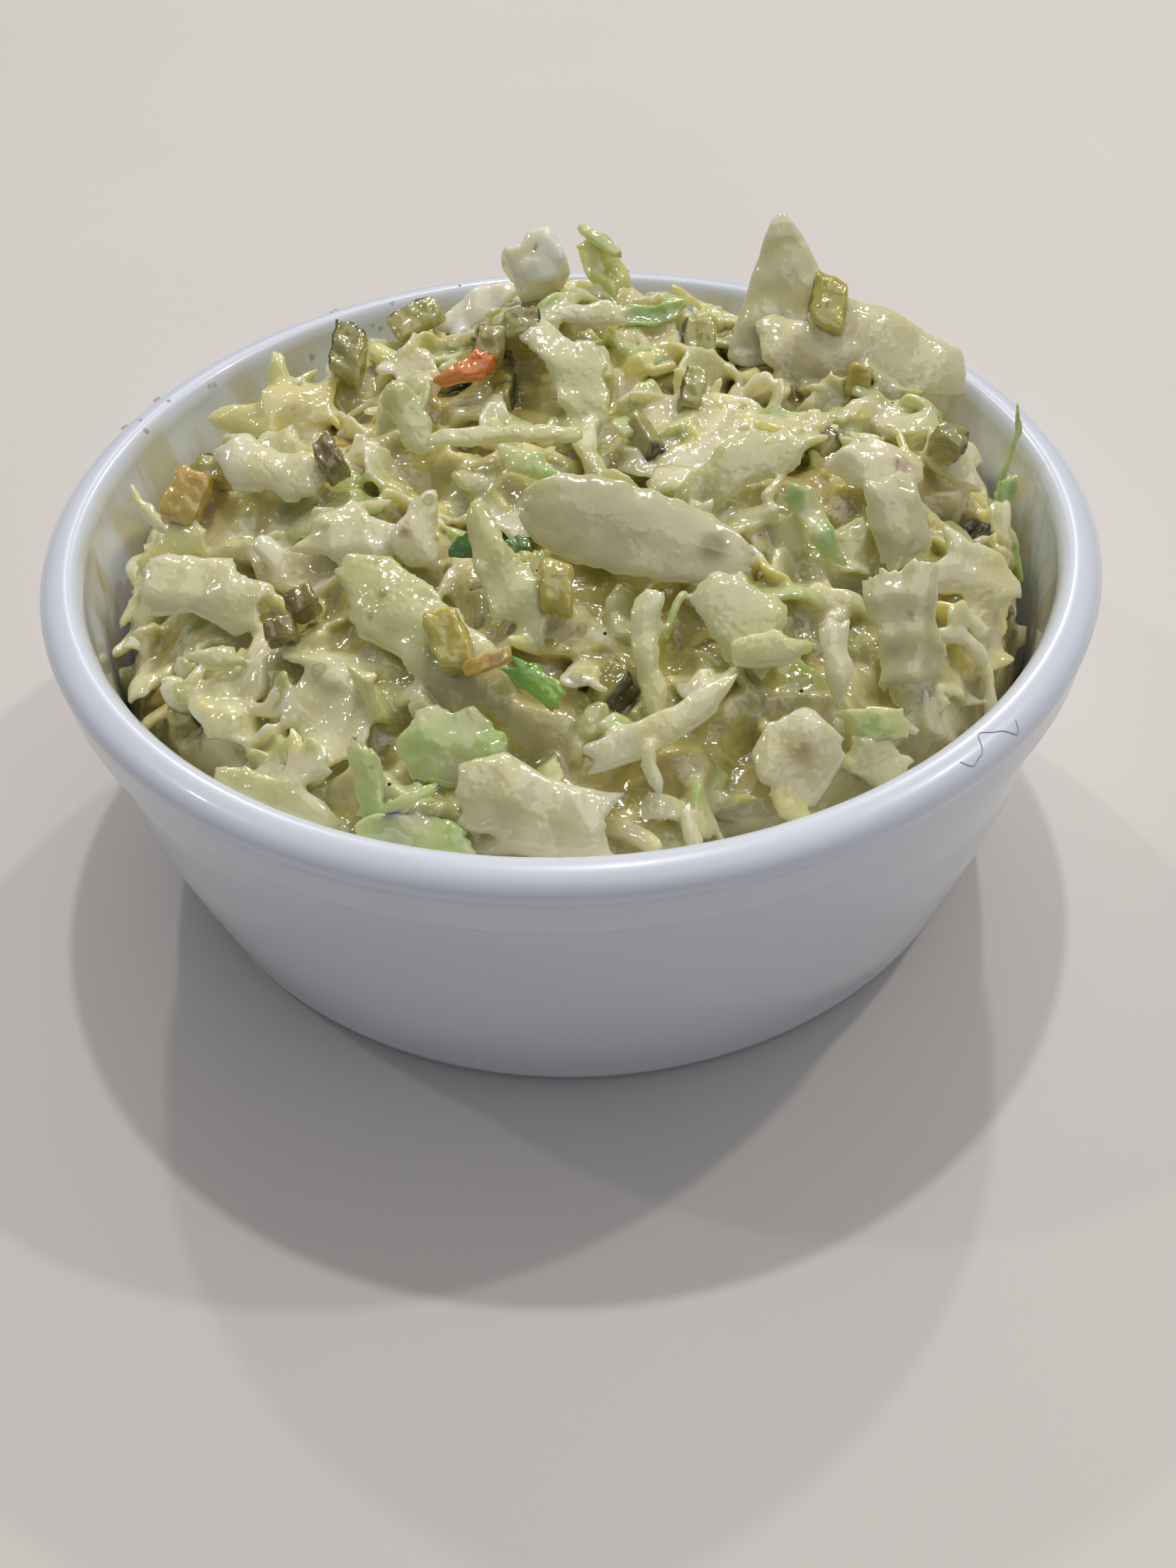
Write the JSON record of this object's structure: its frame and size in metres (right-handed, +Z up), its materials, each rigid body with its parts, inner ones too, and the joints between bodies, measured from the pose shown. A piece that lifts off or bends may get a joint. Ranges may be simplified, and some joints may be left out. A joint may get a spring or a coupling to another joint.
{
  "type": "bowl of coleslaw",
  "caption": "Small round white bowl heaped with creamy coleslaw: chopped cabbage leaves and shreds, pickle dice and carrot, standing on a flat foot ring.",
  "frame": {"origin": "on the table under the middle of the bowl", "axes": "+Z up, -Y towards the front of the bowl, +X to the right"},
  "size_m": [0.115, 0.115, 0.0573],
  "materials": {
    "bowl": "glossy white melamine",
    "slaw": "wet cabbage in creamy dressing"
  },
  "bodies": {
    "root": {"bowl": "bowl", "slaw": "slaw"}
  },
  "joints": []
}
